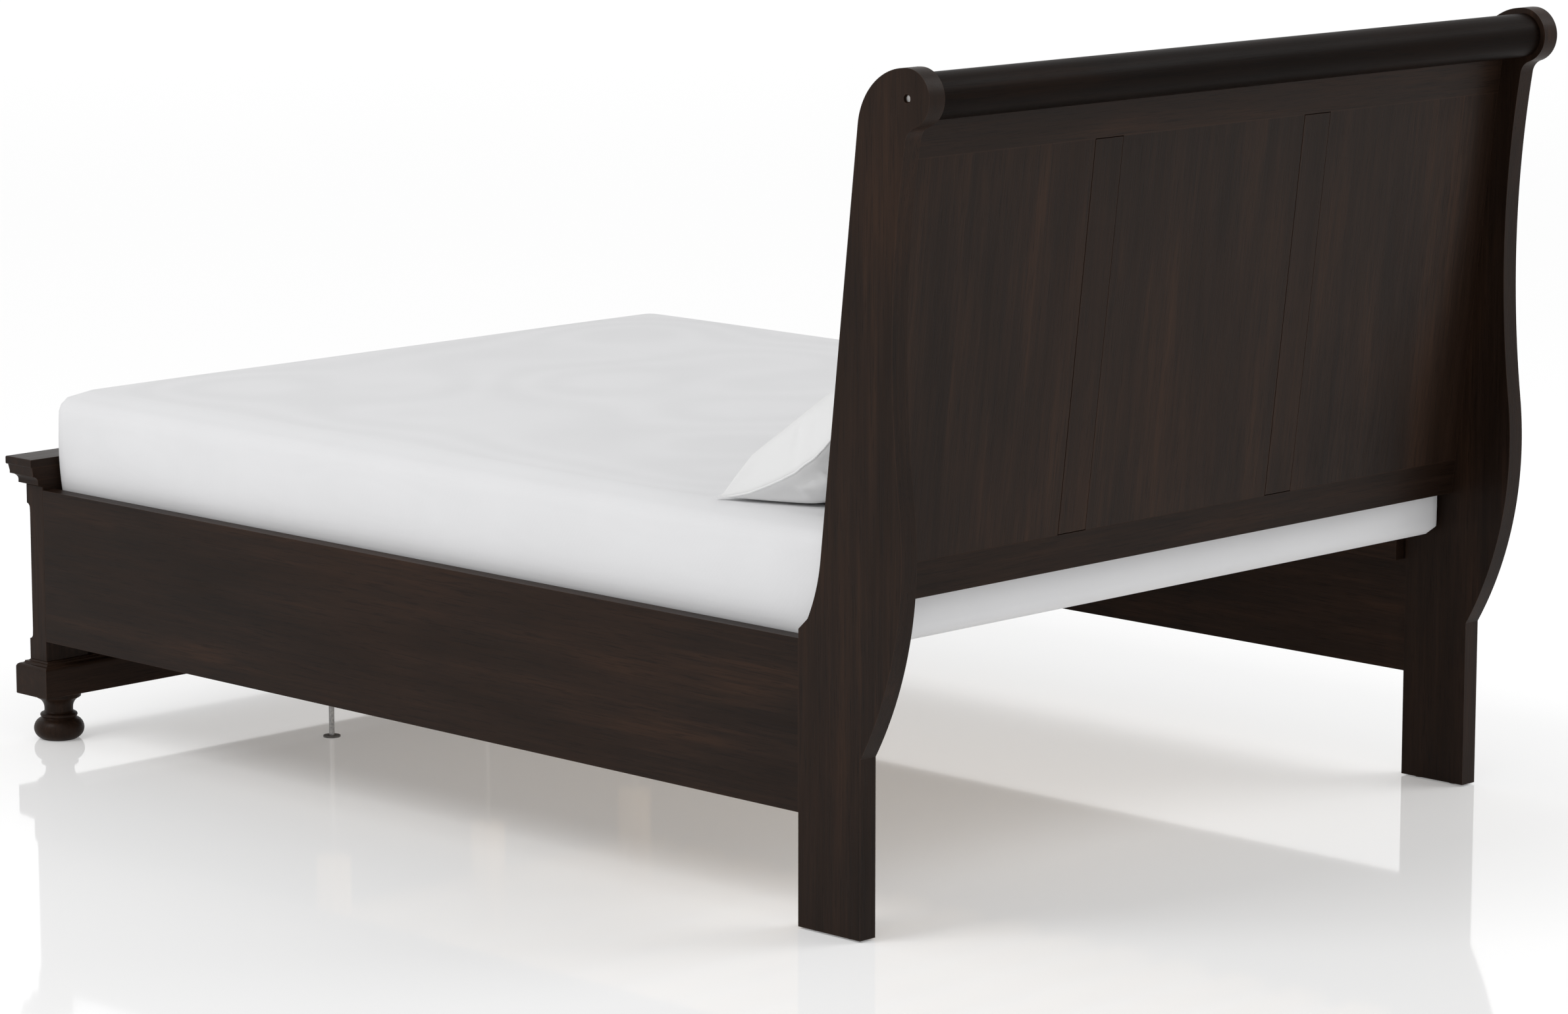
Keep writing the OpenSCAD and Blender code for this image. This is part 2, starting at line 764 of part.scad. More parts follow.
color(wood_dark) head_post(1);  // head_post_right
color(wood_dark) head_post(-1);  // head_post_left
head_roll();
head_top_rail();
head_bottom_rail();
color(wood_dark) head_muntin(2);  // head_muntin_right
color(wood_dark) head_muntin(1);  // head_muntin_left
head_panel(2);  // head_panel_right
head_panel(1);  // head_panel_centre
head_panel(0);  // head_panel_left
color(steel) for (side = sides) roll_bolt(side, 0);  // roll_bolts
head_glides();
side_rail(1);  // side_rail_right
side_rail(-1);  // side_rail_left
ledger(1);  // ledger_right
ledger(-1);  // ledger_left
ledger_screws();
rail_hooks();
post_hook_plates();
slat_screws();
for (i = [1:slat_count]) slat(i);
support_leg(leg_spread);  // support_leg_right
support_leg(0);  // support_leg_centre
support_leg(-leg_spread);  // support_leg_left
support_leg_bolts();
support_leg_rods();
support_leg_glides();
foot_post(1);  // foot_post_right
foot_post(-1);  // foot_post_left
foot_rail(crown_z - foot_rail_h);  // foot_top_rail
foot_rail(plinth_top);  // foot_bottom_rail
foot_muntin(2);  // foot_muntin_right
foot_muntin(1);  // foot_muntin_left
color(wood_dark) foot_panel_box(2, 0);  // foot_panel_right
color(wood_dark) foot_panel_box(1, 0);  // foot_panel_centre
color(wood_dark) foot_panel_box(0, 0);  // foot_panel_left
foot_crown();
foot_cap();
foot_plinth();
bun_foot(1);  // bun_foot_right
bun_foot(-1);  // bun_foot_left
bun_studs();
mattress();
pillow(1);  // pillow_right
pillow(-1);  // pillow_left
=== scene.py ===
"""Sleigh bed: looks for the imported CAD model. Metres, in the CAD model's frame."""
import math

import bmesh
import bpy
import numpy as np
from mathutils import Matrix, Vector


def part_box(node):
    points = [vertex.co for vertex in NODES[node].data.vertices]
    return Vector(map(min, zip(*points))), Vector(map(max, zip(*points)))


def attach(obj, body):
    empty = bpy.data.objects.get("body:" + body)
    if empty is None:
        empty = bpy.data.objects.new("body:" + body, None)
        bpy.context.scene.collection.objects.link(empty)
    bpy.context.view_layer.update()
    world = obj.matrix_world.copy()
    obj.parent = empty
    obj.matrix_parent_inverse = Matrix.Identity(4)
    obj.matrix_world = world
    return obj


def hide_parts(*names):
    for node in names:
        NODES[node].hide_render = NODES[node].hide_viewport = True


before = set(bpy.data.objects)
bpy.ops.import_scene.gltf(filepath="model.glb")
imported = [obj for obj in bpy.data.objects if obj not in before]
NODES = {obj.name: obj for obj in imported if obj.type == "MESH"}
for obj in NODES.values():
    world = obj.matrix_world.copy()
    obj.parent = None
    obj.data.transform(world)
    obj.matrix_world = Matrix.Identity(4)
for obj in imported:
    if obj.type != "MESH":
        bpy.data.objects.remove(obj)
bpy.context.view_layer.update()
MM = 0.001
RAKE = math.radians(6.5)


# ---------- camera, floor and light ----------

CAMERA_YAW = math.radians(45.32)
CAMERA_PITCH = math.radians(10.03)
CAMERA_DISTANCE = 9.697
CAMERA_LENS = 124.4
AIM_Y = 0.055
AIM_Z = 0.483
AMBIENT = 0.58
BACKDROP = 1.0
KEY_POWER = 188
BACK_POWER = 90
FLOOR_GLOW = 0.22
FLOOR_HALF = 30


def look(obj, place, target):
    """Puts obj at place, facing target."""
    obj.location = place
    obj.rotation_mode = "QUATERNION"
    obj.rotation_quaternion = (Vector(target) - Vector(place)).to_track_quat("-Z", "Y")


def make_camera():
    data = bpy.data.cameras.new("camera")
    data.sensor_width = 36
    data.lens = CAMERA_LENS
    data.clip_end = 200
    camera = bpy.data.objects.new("camera", data)
    bpy.context.scene.collection.objects.link(camera)
    aim = Vector((0, AIM_Y, AIM_Z))
    flat = math.cos(CAMERA_PITCH)
    back = Vector((math.sin(CAMERA_YAW) * flat, math.cos(CAMERA_YAW) * flat, math.sin(CAMERA_PITCH)))
    look(camera, aim + CAMERA_DISTANCE * back, aim)
    bpy.context.scene.camera = camera


def area_light(name, place, target, size, power):
    data = bpy.data.lights.new(name, "AREA")
    data.shape = "RECTANGLE"
    data.size, data.size_y = size
    data.energy = power
    light = bpy.data.objects.new(name, data)
    bpy.context.scene.collection.objects.link(light)
    look(light, place, target)


def make_world(ambient, backdrop):
    """White surroundings: ambient lights the bed, backdrop is what the camera and reflections see."""
    world = bpy.data.worlds.new("studio")
    world.use_nodes = True
    tree = world.node_tree
    background = tree.nodes["Background"]
    background.inputs["Color"].default_value = (1, 1, 1, 1)
    path = tree.nodes.new("ShaderNodeLightPath")
    strength = tree.nodes.new("ShaderNodeMix")
    strength.inputs[2].default_value = backdrop
    strength.inputs[3].default_value = ambient
    tree.links.new(path.outputs["Is Diffuse Ray"], strength.inputs[0])
    tree.links.new(strength.outputs[0], background.inputs["Strength"])
    bpy.context.scene.world = world


# ---------- shader helpers ----------


class Shader:
    """A material's node tree, with short calls for adding nodes and links."""

    def __init__(self, name):
        self.material = bpy.data.materials.new(name)
        self.material.use_nodes = True
        self.tree = self.material.node_tree
        self.surface = self.tree.nodes["Principled BSDF"]

    def add(self, kind, inputs=None, **settings):
        """A new node; inputs are values or other nodes' outputs by socket name or number."""
        node = self.tree.nodes.new("ShaderNode" + kind)
        for key, value in settings.items():
            setattr(node, key, value)
        for key, value in (inputs or {}).items():
            self.set(node, key, value)
        return node

    def set(self, node, key, value):
        if isinstance(value, bpy.types.NodeSocket):
            self.tree.links.new(value, node.inputs[key])
        else:
            node.inputs[key].default_value = value

    def surface_set(self, **inputs):
        for key, value in inputs.items():
            self.set(self.surface, key.replace("_", " "), value)

    def math(self, operation, a, b=0.0, clamp=False):
        return self.add("Math", {0: a, 1: b}, operation=operation, use_clamp=clamp).outputs[0]

    def ramp(self, factor, stops):
        node = self.add("ValToRGB", {"Fac": factor})
        elements = node.color_ramp.elements
        while len(elements) < len(stops):
            elements.new(0.5)
        for element, (position, colour) in zip(elements, stops):
            element.position = position
            element.color = (*colour, 1) if len(colour) == 3 else (colour[0],) * 3 + (1,)
        return node.outputs["Color"]

    def mix(self, factor, a, b, blend="MIX"):
        node = self.add("Mix", {"Factor": factor}, data_type="RGBA", blend_type=blend)
        self.set(node, 6, a)
        self.set(node, 7, b)
        return node.outputs[2]

    def place(self, scale, offset=(0, 0, 0), lean=0.0):
        """Object coordinates, turned about X, then scaled and moved."""
        where = self.add("TexCoord").outputs["Object"]
        upright = self.add("Mapping", {"Vector": where, "Rotation": (lean, 0, 0)}).outputs["Vector"]
        return self.add("Mapping", {"Vector": upright, "Location": offset, "Scale": scale}).outputs["Vector"]

    def noise(self, vector, scale, detail=3.0, roughness=0.5, distortion=0.0):
        inputs = {"Vector": vector, "Scale": scale, "Detail": detail, "Roughness": roughness}
        return self.add("TexNoise", {**inputs, "Distortion": distortion}).outputs["Fac"]

    def bump(self, height, strength, distance, under=None):
        node = self.add("Bump", {"Height": height, "Strength": strength, "Distance": distance})
        if under is not None:
            self.set(node, "Normal", under)
        return node.outputs["Normal"]


def along(axis, grain, across):
    """A scale that stretches a texture along the grain axis."""
    scale = [across, across, across]
    scale["XYZ".index(axis)] = grain
    return scale


def stained_wood(name, axis, seed, lean=0.0, painted_light=1.0):
    """Espresso-stained wood under a satin lacquer; the grain runs along axis, and the last argument scales its
    colour and gloss per part: painted light and shade.
    """
    s = Shader(name)
    offset = (seed * 1.7, seed * 0.9, seed * 2.3)
    wide = s.place(along(axis, 0.10, 1.0), offset, lean)
    fine = s.place(along(axis, 0.025, 1.0), offset, lean)
    cloud = s.noise(s.place((1, 1, 1), offset), 2.2, 2)
    figure = s.noise(wide, 18, 5, 0.6, 0.2)
    streak = s.noise(fine, 150, 4, 0.6)
    pore = s.noise(fine, 620, 2, 0.5)
    body = s.ramp(figure, [(0.34, (0.0130, 0.0072, 0.0046)), (0.52, (0.0205, 0.0114, 0.0076)),
                           (0.68, (0.0330, 0.0168, 0.0100))])
    dark = s.mix(0.50, body, (0.0085, 0.0050, 0.0035, 1))
    toned = s.mix(s.ramp(streak, [(0.38, (0.0,)), (0.62, (1.0,))]), dark, body)
    warm = s.mix(s.ramp(cloud, [(0.40, (0.0,)), (0.70, (0.25,))]), toned, (0.036, 0.0175, 0.0100, 1))
    pores = s.ramp(pore, [(0.36, (1.0,)), (0.44, (0.0,))])
    pored = s.mix(s.math("MULTIPLY", pores, 0.5), warm, (0.006, 0.0035, 0.0025, 1))
    rounded = s.add("Bevel", {"Radius": 0.003}, samples=4).outputs["Normal"]
    plain = s.add("NewGeometry").outputs["Normal"]
    turned = s.add("VectorMath", {0: rounded, 1: plain}, operation="DOT_PRODUCT").outputs["Value"]
    edge = s.math("MULTIPLY", s.math("SUBTRACT", 1.0, turned), 6.0, clamp=True)
    worn = s.math("MULTIPLY", edge, s.math("MULTIPLY", s.noise(s.place((1, 1, 1), offset), 38, 3), 0.75))
    finish = s.mix(worn, pored, (0.050, 0.027, 0.017, 1))
    # Painted light and shade: the colour is scaled per part to make up for how the lamps light it.
    s.surface_set(Base_Color=s.mix(1.0, finish, (painted_light, painted_light, painted_light, 1), "MULTIPLY"))
    rough = s.ramp(s.math("ADD", s.math("MULTIPLY", streak, 0.5), s.math("MULTIPLY", cloud, 0.5)),
                   [(0.30, (0.36,)), (0.70, (0.50,))])
    s.surface_set(Roughness=rough)
    # The gloss is scaled with the same painted light and shade.
    s.surface.inputs["Specular IOR Level"].default_value = 0.08 * painted_light
    s.surface.inputs["Coat Weight"].default_value = 0.03 * painted_light
    s.surface.inputs["Coat Roughness"].default_value = 0.22
    grain = s.math("SUBTRACT", s.math("MULTIPLY", streak, 0.4), pores)
    s.surface_set(Normal=s.bump(grain, 0.35, 0.00025))
    return s.material


def pine(name, axis, seed):
    """Planed, unfinished softwood with growth rings and a few knots."""
    s = Shader(name)
    offset = (seed * 0.83, seed * 1.31, seed * 0.57)
    wide = s.place(along(axis, 0.10, 1.0), offset)
    growth = {"Vector": wide, "Scale": 16, "Distortion": 9, "Detail": 3, "Detail Scale": 1.2}
    rings = s.add("TexWave", growth, wave_type="BANDS", bands_direction="DIAGONAL").outputs["Fac"]
    fibre = s.noise(s.place(along(axis, 0.02, 1.0), offset), 420, 3)
    colour = s.ramp(rings, [(0.25, (0.66, 0.50, 0.31)), (0.80, (0.56, 0.38, 0.20)),
                            (0.97, (0.42, 0.25, 0.12))])
    colour = s.mix(s.math("MULTIPLY", fibre, 0.35), colour, (0.74, 0.60, 0.40, 1))
    spots = {"Vector": s.place(along(axis, 0.7, 1.6), offset), "Scale": 2.2}
    knots = s.add("TexVoronoi", spots).outputs["Distance"]
    knot = s.ramp(knots, [(0.030, (1.0,)), (0.050, (0.0,))])
    s.surface_set(Base_Color=s.mix(knot, colour, (0.17, 0.075, 0.032, 1)))
    s.surface_set(Roughness=s.ramp(fibre, [(0.3, (0.52,)), (0.7, (0.68,))]))
    s.surface_set(Normal=s.bump(s.math("ADD", s.math("MULTIPLY", fibre, 0.7), rings), 0.25, 0.0003))
    return s.material


def plated_steel(name):
    """Zinc-plated steel with a brushed, slightly mottled surface."""
    s = Shader(name)
    spangle = s.noise(s.place((1, 1, 1)), 260, 3)
    brushed = s.noise(s.place((1, 1, 0.06)), 900, 2)
    s.surface_set(Base_Color=s.ramp(spangle, [(0.3, (0.26, 0.26, 0.26)), (0.7, (0.40, 0.39, 0.38))]))
    s.surface_set(Roughness=s.ramp(brushed, [(0.3, (0.26,)), (0.7, (0.44,))]))
    s.surface.inputs["Metallic"].default_value = 1.0
    s.surface_set(Normal=s.bump(brushed, 0.2, 0.0001))
    return s.material


def moulded_pad(name):
    """Hard grey plastic glide, lightly scuffed."""
    s = Shader(name)
    scuff = s.noise(s.place((1, 1, 1)), 180, 5)
    s.surface_set(Base_Color=s.ramp(scuff, [(0.35, (0.10, 0.098, 0.095)), (0.65, (0.20, 0.195, 0.19))]))
    s.surface_set(Roughness=s.ramp(scuff, [(0.3, (0.42,)), (0.7, (0.62,))]))
    s.surface_set(Normal=s.bump(scuff, 0.2, 0.0002))
    return s.material


def cloth(name, tint, thread, sheen, weave_depth):
    """Plain-woven or knitted white cloth; thread is the spacing of its threads."""
    s = Shader(name)
    where = s.place((1, 1, 1))
    wobble = s.noise(where, 40, 2)
    waves = []
    for direction in "XYZ":
        inputs = {"Vector": where, "Scale": 0.314 / thread, "Distortion": 0.6, "Detail": 1}
        waves.append(s.add("TexWave", inputs, wave_type="BANDS", bands_direction=direction).outputs["Fac"])
    weave = s.math("MAXIMUM", s.math("MULTIPLY", waves[0], waves[1]), waves[2])
    soft = s.noise(where, 5, 3)
    shade = s.math("ADD", s.math("MULTIPLY", weave, 0.25), s.math("MULTIPLY", soft, 0.75))
    low = tuple(0.955 * v for v in tint)
    s.surface_set(Base_Color=s.ramp(shade, [(0.2, low), (0.75, tint)]))
    s.surface_set(Roughness=s.ramp(wobble, [(0.3, (0.82,)), (0.7, (0.94,))]))
    s.surface.inputs["Specular IOR Level"].default_value = 0.2
    s.surface.inputs["Sheen Weight"].default_value = sheen
    s.surface.inputs["Sheen Roughness"].default_value = 0.5
    under = s.bump(s.noise(where, 14, 3), 0.25, 0.002)
    s.surface_set(Normal=s.bump(weave, 0.5, weave_depth, under))
    return s.material


def floor_finish():
    """Pale, polished studio floor."""
    s = Shader("studio_floor")
    s.surface_set(Base_Color=(0.90, 0.90, 0.90, 1))
    s.surface.inputs["Roughness"].default_value = 0.05
    s.surface.inputs["Specular IOR Level"].default_value = 0.18
    s.surface_set(Emission_Color=(1, 1, 1, 1))
    s.surface.inputs["Emission Strength"].default_value = FLOOR_GLOW
    return s.material


# ---------- piece helpers ----------


def new_piece(name, vertices, faces, material):
    mesh = bpy.data.meshes.new(name)
    mesh.from_pydata([tuple(v) for v in vertices], [], faces)
    mesh.validate()
    mesh.shade_smooth()
    piece = bpy.data.objects.new(name, mesh)
    bpy.context.scene.collection.objects.link(piece)
    mesh.materials.append(material)
    return piece


def finish_node(node, material, bevel_mm):
    """Gives a CAD node its material and eased edges."""
    obj = NODES[node]
    for slot in obj.material_slots:
        slot.material = material
    if bevel_mm:
        weld = obj.modifiers.new("weld", "WELD")
        weld.merge_threshold = 0.00001
        bevel = obj.modifiers.new("eased_edges", "BEVEL")
        bevel.width = bevel_mm * MM
        bevel.segments = 3
        bevel.limit_method = "ANGLE"
        bevel.angle_limit = math.radians(28)
        bevel.use_clamp_overlap = True
        normals = obj.modifiers.new("normals", "WEIGHTED_NORMAL")
        normals.weight = 80
        normals.keep_sharp = False


# ---------- soft goods ----------


def smooth_path(points, count):
    """Evenly spaced points along a smooth curve through the given points."""
    knots = np.array(points, float)
    ends = np.vstack([2 * knots[0] - knots[1], knots, 2 * knots[-1] - knots[-2]])
    curve = []
    for i in range(1, len(ends) - 2):
        a, b, c, d = ends[i - 1:i + 3]
        for t in np.linspace(0, 1, 40, endpoint=False):
            curve.append(0.5 * (2 * b + (c - a) * t + (2 * a - 5 * b + 4 * c - d) * t ** 2
                                + (3 * b - a - 3 * c + d) * t ** 3))
    curve = np.array(curve + [knots[-1]])
    run = np.concatenate([[0], np.cumsum(np.linalg.norm(np.diff(curve, axis=0), axis=1))])
    wanted = np.linspace(0, run[-1], count)
    return np.stack([np.interp(wanted, run, curve[:, k]) for k in range(curve.shape[1])], axis=1)


def waves(points, seed, size, amount):
    """A smooth, repeatable random field over the points: a sum of a few plane waves."""
    random = np.random.default_rng(seed)
    total = np.zeros(len(points))
    for _ in range(9):
        direction = random.normal(size=3)
        direction /= np.linalg.norm(direction)
        length = size * random.uniform(0.6, 1.6)
        total += np.sin(points @ direction * 2 * math.pi / length + random.uniform(0, 2 * math.pi))
    return total * amount / 3


def lattice_box(low, high, step):
    """Vertices and quads of a box whose faces are divided into cells of about the given size."""
    mesh = bmesh.new()
    bmesh.ops.create_cube(mesh, size=1.0)
    size = np.array(high) - np.array(low)
    for vertex in mesh.verts:
        vertex.co = Vector([low[k] + (vertex.co[k] + 0.5) * size[k] for k in range(3)])
    for axis in range(3):
        cells = max(2, int(round(size[axis] / step)))
        normal = Vector([1.0 if k == axis else 0.0 for k in range(3)])
        for i in range(1, cells):
            place = Vector([low[k] + (size[k] * i / cells if k == axis else 0) for k in range(3)])
            bmesh.ops.bisect_plane(mesh, geom=mesh.verts[:] + mesh.edges[:] + mesh.faces[:],
                                   plane_co=place, plane_no=normal, dist=1e-7)
    mesh.verts.ensure_lookup_table()
    mesh.verts.index_update()
    points = np.array([v.co[:] for v in mesh.verts])
    faces = [[v.index for v in f.verts] for f in mesh.faces]
    mesh.free()
    return points, faces


TOP_ROUND = 0.040
FOOT_ROUND = 0.012
CORNER_ROUND = 0.016
RAIL_TOP = 0.473
POST_FRONT = 0.845
MATTRESS_CELL = 0.0125
CROWN_DROP = 0.004
SIDE_SWELL = 0.0055
SIDE_WAVE = 0.0012


def rounded(points, low, high):
    """Rounds a box lattice: large radius along the top, small ones at the corners and the bottom."""
    out = points.copy()
    middle = (low[2] + high[2]) / 2
    for upper in (False, True):
        radius = TOP_ROUND if upper else FOOT_ROUND
        part = (out[:, 2] >= middle) if upper else (out[:, 2] < middle)
        z_core = np.clip(out[part, 2], low[2] + FOOT_ROUND, high[2] - TOP_ROUND)
        rise = np.abs(out[part, 2] - z_core) / radius
        inset = radius * (1 - np.sqrt(np.clip(1 - rise ** 2, 0, 1)))
        out[part, 2] = z_core + np.sign(out[part, 2] - z_core) * radius * rise
        for axis in (0, 1):
            centre = (low[axis] + high[axis]) / 2
            half = (high[axis] - low[axis]) / 2
            away = (out[part, axis] - centre) / half
            out[part, axis] = centre + away * (half - inset)
    return out


def make_mattress(material):
    """Fitted-sheet-covered mattress: full rounded top edge, slightly crowned, pressed against the bed."""
    low, high = (np.array(corner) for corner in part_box("mattress"))
    points, faces = lattice_box(low, high, MATTRESS_CELL)
    centre, half = (low + high) / 2, (high - low) / 2
    # corners of the plan
    core = half[:2] - CORNER_ROUND
    flat = points[:, :2] - centre[:2]
    inner = np.clip(flat, -core, core)
    over = flat - inner
    reach = np.linalg.norm(over, axis=1)
    square = np.maximum(np.abs(over[:, 0]), np.abs(over[:, 1]))
    scale = np.where(reach > 1e-9, square / np.maximum(reach, 1e-9), 1.0)
    points[:, :2] = centre[:2] + inner + over * scale[:, None]
    points = rounded(points, low, high)
    # bulge, crown and the soft unevenness of the cover
    away = np.clip(np.abs(points[:, :2] - centre[:2]) / half[:2], 0, 1)
    height = (points[:, 2] - low[2]) / (high[2] - low[2])
    crown = (1 - away[:, 0] ** 4) * (1 - away[:, 1] ** 6)
    on_top = np.clip((height - 0.5) * 2, 0, 1)
    points[:, 2] -= on_top * CROWN_DROP * (1 - crown)
    points[:, 2] += on_top * crown * waves(points * (1, 1, 0), 11, 0.55, 0.0016)
    side = np.sign(points[:, 0] - centre[0]) * (away[:, 0] > 0.9)
    bulge = np.sin(math.pi * np.clip((points[:, 2] - RAIL_TOP) / (high[2] - RAIL_TOP), 0, 1)) ** 0.8
    free = np.clip((POST_FRONT - points[:, 1]) / 0.06, 0, 1)
    swell = SIDE_SWELL + SIDE_WAVE * waves(points * (0, 1, 1.4), 5, 0.30, 1.0)
    points[:, 0] += side * bulge * (0.0005 + free * swell)
    points[:, 0] -= side * (height < 0.12) * 0.001
    piece = new_piece("mattress_cover", points, faces, material)
    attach(piece, "mattress")
    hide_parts("mattress")
    return piece


PILLOW_LENGTH = 0.662
PILLOW_THICK = 0.135
PILLOW_FRONT_SHARE = 0.78
PILLOW_COLUMNS = 88
PILLOW_ROWS = 60
FILL_PRESSURE = 4.0
FILL_FRAMES = 22
FILL_MOST = 0.030
WELT_RADIUS = 0.0022
WELT_SIDES = 8
REST_GAP = 0.0005
BOARD_GAP = 0.002
SOFT_BLEND = 0.006


def pillow_shape():
    """Grid points of a pillow's two sheets, right-hand side of the bed, before it is filled."""
    head_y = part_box("side_rail_right")[1][1]
    x_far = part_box("pillow_right")[1][0] + 0.004
    # the pillow's middle, from its front corner on the mattress up the headboard
    path = [(-0.264, 0.666), (-0.222, 0.667), (-0.178, 0.674), (-0.126, 0.693), (-0.066, 0.727),
            (-0.010, 0.770), (0.032, 0.820), (0.048, 0.872), (0.044, 0.914)]
    rows = smooth_path(path, PILLOW_ROWS + 1)
    step = np.gradient(rows, axis=0)
    step /= np.linalg.norm(step, axis=1)[:, None]
    normal = np.stack([-step[:, 1], step[:, 0]], axis=1)
    lengthwise = np.linspace(0, 1, PILLOW_COLUMNS + 1)
    upward = np.linspace(0, 1, PILLOW_ROWS + 1)
    s, t = np.meshgrid(lengthwise, upward, indexing="ij")
    pull_x = 1 - 0.055 * (4 * t * (1 - t)) ** 0.9
    x = x_far - PILLOW_LENGTH * (0.5 + (s - 0.5) * pull_x)
    pull_t = 0.5 + (t - 0.5) * (1 - 0.075 * (4 * s * (1 - s)) ** 0.9)
    at = pull_t * PILLOW_ROWS
    y = np.interp(at, np.arange(PILLOW_ROWS + 1), rows[:, 0])
    z = np.interp(at, np.arange(PILLOW_ROWS + 1), rows[:, 1])
    ny = np.interp(at, np.arange(PILLOW_ROWS + 1), normal[:, 0])
    nz = np.interp(at, np.arange(PILLOW_ROWS + 1), normal[:, 1])
    fat = (np.clip(4 * s * (1 - s), 0, 1) * np.clip(4 * t * (1 - t), 0, 1)) ** 0.55
    sheets = []
    for part in (PILLOW_FRONT_SHARE, PILLOW_FRONT_SHARE - 1):
        lift = PILLOW_THICK * part * fat
        sheets.append(np.stack([x, head_y + y + ny * lift, z + nz * lift], axis=-1))
    return sheets


def pillow_mesh(sheets):
    """Joins the two sheets at their edge: returns points, faces and the order of the edge's points."""
    columns, rows = PILLOW_COLUMNS + 1, PILLOW_ROWS + 1
    points = [p for p in sheets[0].reshape(-1, 3)]
    top = np.arange(columns * rows).reshape(columns, rows)
    bottom = top.copy()
    for i in range(1, columns - 1):
        for j in range(1, rows - 1):
            bottom[i, j] = len(points)
            points.append(sheets[1][i, j])
    faces = []
    for i in range(columns - 1):
        for j in range(rows - 1):
            faces.append((top[i, j], top[i, j + 1], top[i + 1, j + 1], top[i + 1, j]))
            faces.append((bottom[i, j], bottom[i + 1, j], bottom[i + 1, j + 1], bottom[i, j + 1]))
    edge = list(top[:, 0]) + list(top[-1, 1:]) + list(top[-2::-1, -1]) + list(top[0, -2:0:-1])
    return np.array(points), [tuple(int(k) for k in f) for f in faces], [int(k) for k in edge]


def fill_with_cloth(points, faces, pressure, frames, cap):
    """Swells a closed sheet by cloth simulation; no point moves further than cap."""
    mesh = bpy.data.meshes.new("filling")
    mesh.from_pydata([tuple(p) for p in points], [], faces)
    obj = bpy.data.objects.new("filling", mesh)
    scene = bpy.context.scene
    scene.collection.objects.link(obj)
    cloth = obj.modifiers.new("cloth", "CLOTH")
    settings = cloth.settings
    settings.quality = 6
    settings.mass = 0.15
    settings.tension_stiffness = settings.compression_stiffness = 12
    settings.shear_stiffness = 4
    settings.bending_stiffness = 0.15
    settings.use_pressure = True
    settings.uniform_pressure_force = pressure
    settings.effector_weights.gravity = 0
    cloth.collision_settings.use_collision = False
    cloth.point_cache.frame_start, cloth.point_cache.frame_end = 1, frames
    for number in range(1, frames + 1):
        scene.frame_set(number)
    held = obj.evaluated_get(bpy.context.evaluated_depsgraph_get())
    result = np.array([v.co[:] for v in held.data.vertices])
    scene.frame_set(1)
    bpy.data.objects.remove(obj)
    bpy.data.meshes.remove(mesh)
    moved = result - points
    far = np.linalg.norm(moved, axis=1)
    limit = np.minimum(1, cap / np.maximum(far, 1e-9))
    return points + moved * limit[:, None]


def edge_welt(points, edge, radius):
    """A round welt along the pillow's seam."""
    path = points[edge]
    count = len(path)
    along_path = np.roll(path, -1, axis=0) - np.roll(path, 1, axis=0)
    along_path /= np.linalg.norm(along_path, axis=1)[:, None]
    centre = path.mean(axis=0)
    out = path - centre
    out -= (out * along_path).sum(axis=1)[:, None] * along_path
    out /= np.linalg.norm(out, axis=1)[:, None]
    up = np.cross(along_path, out)
    rim, faces = [], []
    sides = WELT_SIDES
    for i in range(count):
        for k in range(sides):
            angle = 2 * math.pi * k / sides
            rim.append(path[i] + radius * (math.cos(angle) * out[i] + math.sin(angle) * up[i]))
            a, b = i * sides + k, i * sides + (k + 1) % sides
            c, d = ((i + 1) % count) * sides + (k + 1) % sides, ((i + 1) % count) * sides + k
            faces.append((a, b, c, d))
    return np.array(rim), faces


def make_pillows(material):
    """Two bed pillows that lie on the mattress and lean on the headboard."""
    points, faces, edge = pillow_mesh(pillow_shape())
    points = fill_with_cloth(points, faces, FILL_PRESSURE, FILL_FRAMES, FILL_MOST)
    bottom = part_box("mattress")[1][2] + REST_GAP
    foot_y, foot_z = board_front()
    for side, suffix in ((1, "right"), (-1, "left")):
        shape = points.copy()
        shape[:, 0] *= side
        if side < 0:
            shape[:, 2] += waves(shape, 23, 0.30, 0.004) * np.clip((shape[:, 2] - 0.70) * 8, 0, 1)
        rim, rim_faces = edge_welt(shape, edge, WELT_RADIUS)
        everything = np.vstack([shape, rim])
        allowed = foot_y + (everything[:, 2] - foot_z) * math.tan(RAKE) - BOARD_GAP
        everything[:, 1] = soft_limit(everything[:, 1], allowed, SOFT_BLEND)
        everything[:, 2] = -soft_limit(-everything[:, 2], -bottom, SOFT_BLEND)
        start = len(shape)
        all_faces = faces + [tuple(k + start for k in f) for f in rim_faces]
        if side < 0:
            all_faces = [f[::-1] for f in all_faces]
        piece = new_piece("pillow_case_" + suffix, everything, all_faces, material)
        finer = piece.modifiers.new("smooth", "SUBSURF")
        finer.levels = finer.render_levels = 1
        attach(piece, "pillow_" + suffix)
        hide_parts("pillow_" + suffix)


def soft_limit(values, most, blend):
    """Values that never pass most, and bend towards it over the blend distance."""
    gap = most - values
    return most - np.where(gap > blend, gap, blend * np.exp(np.clip(gap / blend - 1, -6, 0)))


def board_front():
    """A point, [y, z], of the headboard frame's front plane: the lower front edge of its bottom rail."""
    rail = NODES["head_bottom_rail"].data
    corners = np.array([v.co[:] for v in rail.vertices])
    middle = corners[np.abs(corners[:, 0]) < 0.757]
    low = middle[middle[:, 1].argmin()]
    return float(low[1]), float(low[2])


# ---------- assembly of looks ----------

make_camera()
make_world(AMBIENT, BACKDROP)

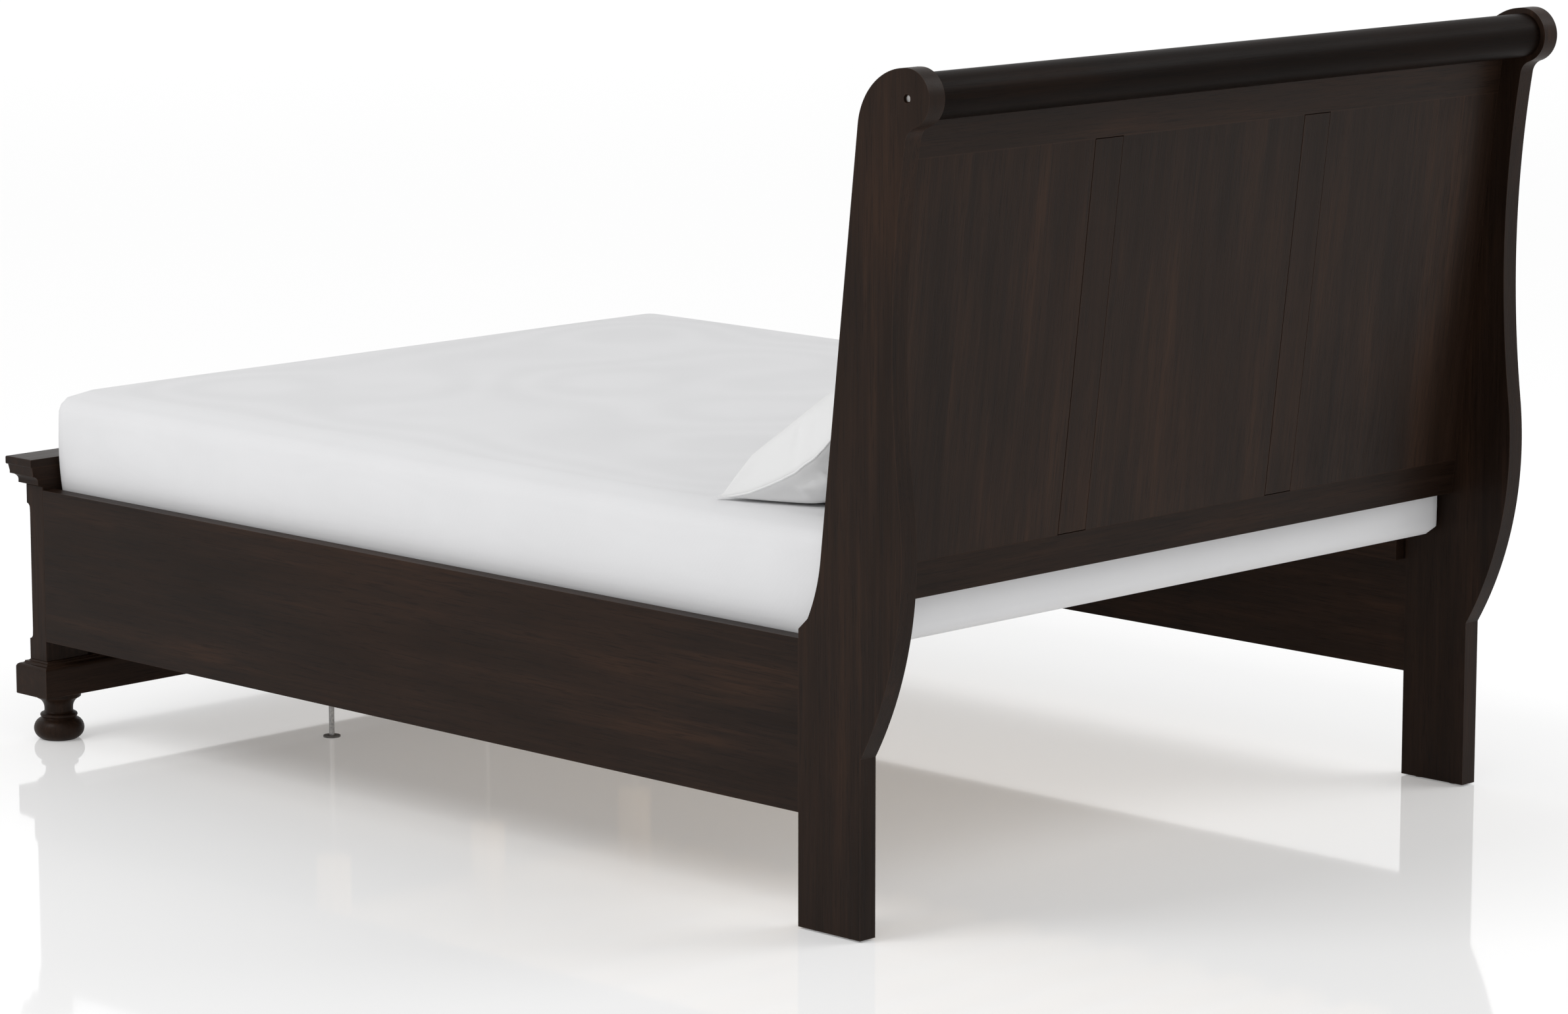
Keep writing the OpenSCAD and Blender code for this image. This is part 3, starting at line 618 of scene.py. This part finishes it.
DARK = {
    "X": ["head_roll", "head_top_rail", "head_bottom_rail", "foot_top_rail", "foot_bottom_rail",
          "foot_crown", "foot_cap", "foot_plinth"],
    "Y": ["side_rail_right", "side_rail_left"],
    "Z": ["head_post_right", "head_post_left", "head_muntin_right", "head_muntin_left", "head_panel_right",
          "head_panel_centre", "head_panel_left", "foot_post_right", "foot_post_left", "foot_muntin_right",
          "foot_muntin_left", "foot_panel_right", "foot_panel_centre", "foot_panel_left", "bun_foot_right",
          "bun_foot_left"],
}
EASED = {"head_post": 1.6, "head_top_rail": 1.0, "head_bottom_rail": 1.2, "head_muntin": 0.8, "side_rail": 1.6,
         "foot_post": 1.2, "foot_top_rail": 0.8, "foot_bottom_rail": 0.8, "foot_muntin": 0.8, "foot_crown": 0.6,
         "foot_plinth": 0.8, "bun_foot": 0.8}

# Painted light and shade: each part's wood colour is scaled to make up for how the lamps light it. The posts
# and other parts facing the key are darker, the panels lighter, and the roll much darker, standing in for the
# shade on its underside.
PAINTED_LIGHT_TONE = {"head_roll": 0.34, "head_top_rail": 1.08, "head_bottom_rail": 0.90}
PANEL_PAINTED_LIGHT = 1.08
PLAIN_PAINTED_LIGHT = 0.96

steel = plated_steel("zinc_steel")
pad = moulded_pad("glide_plastic")
seed = 0
for axis, names in DARK.items():
    for name in names:
        seed += 1
        lean = RAKE if name.startswith(("head_muntin", "head_panel")) else 0.0
        width = next((v for k, v in EASED.items() if name.startswith(k)), 0)
        # Painted light and shade: the panels and the plain parts each get their own colour scale.
        plain = PANEL_PAINTED_LIGHT if "panel" in name or "muntin" in name else PLAIN_PAINTED_LIGHT
        painted_light = PAINTED_LIGHT_TONE.get(name, plain)
        finish_node(name, stained_wood("espresso_" + name, axis, seed, lean, painted_light), width)
for name in NODES:
    if name.startswith(("slat_0", "slat_1")):
        seed += 1
        finish_node(name, pine("pine_" + name, "X", seed), 0)
    elif name.startswith("ledger_") and name != "ledger_screws":
        seed += 1
        finish_node(name, stained_wood("espresso_" + name, "Y", seed), 0)
    elif name.startswith("support_leg_") and name.split("_")[-1] in ("right", "centre", "left"):
        seed += 1
        finish_node(name, pine("pine_" + name, "Z", seed), 0)
    elif name in ("head_glides", "support_leg_glides"):
        finish_node(name, pad, 0)
    elif name.startswith(("roll_bolts", "ledger_screws", "rail_hooks", "post_hook", "slat_screws", "bun_studs",
                          "support_leg_bolts", "support_leg_rods")):
        finish_node(name, steel, 0)

make_mattress(cloth("knitted_cover", (0.80, 0.80, 0.81), 0.0012, 0.25, 0.00018))
make_pillows(cloth("woven_cotton", (0.82, 0.82, 0.82), 0.0009, 0.20, 0.00015))

floor = bpy.data.objects.new("studio_floor", bpy.data.meshes.new("studio_floor"))
corners = [(x * FLOOR_HALF, y * FLOOR_HALF, 0) for x, y in ((-1, -1), (1, -1), (1, 1), (-1, 1))]
floor.data.from_pydata(corners, [], [(0, 1, 2, 3)])
floor.data.materials.append(floor_finish())
bpy.context.scene.collection.objects.link(floor)

area_light("key", (5.4, -1.3, 5.6), (0, 0, 0.5), (3.4, 3.4), KEY_POWER)
area_light("back", (-3.8, 3.6, 4.6), (-0.4, 1.6, 0.3), (3.0, 3.0), BACK_POWER)

scene = bpy.context.scene
scene.view_settings.view_transform = "Standard"
scene.view_settings.look = "None"
scene.view_settings.exposure = 0.0
